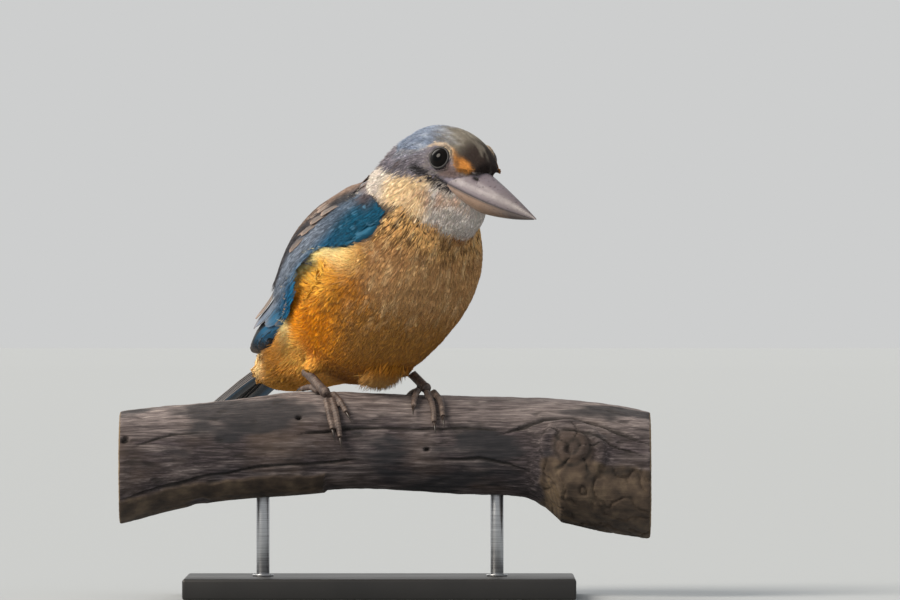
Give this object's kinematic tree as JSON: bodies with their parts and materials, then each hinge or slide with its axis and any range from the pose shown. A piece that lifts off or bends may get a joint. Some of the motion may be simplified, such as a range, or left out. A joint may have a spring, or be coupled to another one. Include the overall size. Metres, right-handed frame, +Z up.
{
  "type": "perched kingfisher",
  "caption": "Life-size still model of a perched kingfisher gripping a cut length of branch, held over a flat display base by two short rods.",
  "frame": {"origin": "middle of the underside of the display base", "axes": "+X along the perch towards its knotted end, +Z up; the bird's front is turned 50 degrees from +X towards -Y"},
  "size_m": [0.204, 0.1515, 0.1818],
  "materials": {
    "crown": "matte plumage of crown, eye band and cheeks",
    "collar": "matte pale plumage of the collar",
    "underparts": "matte buff and orange plumage",
    "wing": "satin blue flight feathers",
    "tail": "satin dull blue tail feathers",
    "bill": "satin horn",
    "bill_below": "satin horn",
    "eye": "wet gloss",
    "leg": "scaly skin",
    "claw": "satin horn",
    "perch_wood": "weathered dead wood with old bark",
    "stand_base": "black satin lacquer",
    "stand_rod": "brushed"
  },
  "bodies": {
    "root": {"head": "crown", "neck": "collar", "torso": "underparts", "tail": "tail", "bill_upper": "bill", "bill_lower": "bill_below", "eye_left": "eye", "eye_right": "eye", "wing_right": "wing", "wing_left": "wing", "tarsus_right": "leg", "toe_right_outer": "leg", "claw_right_outer": "claw", "toe_right_middle": "leg", "claw_right_middle": "claw", "toe_right_inner": "leg", "claw_right_inner": "claw", "toe_right_hind": "leg", "claw_right_hind": "claw", "tarsus_left": "leg", "toe_left_outer": "leg", "claw_left_outer": "claw", "toe_left_middle": "leg", "claw_left_middle": "claw", "toe_left_inner": "leg", "claw_left_inner": "claw", "toe_left_hind": "leg", "claw_left_hind": "claw", "perch": "perch_wood", "stand_base": "stand_base", "stand_rod_left": "stand_rod", "stand_rod_right": "stand_rod"}
  },
  "joints": []
}
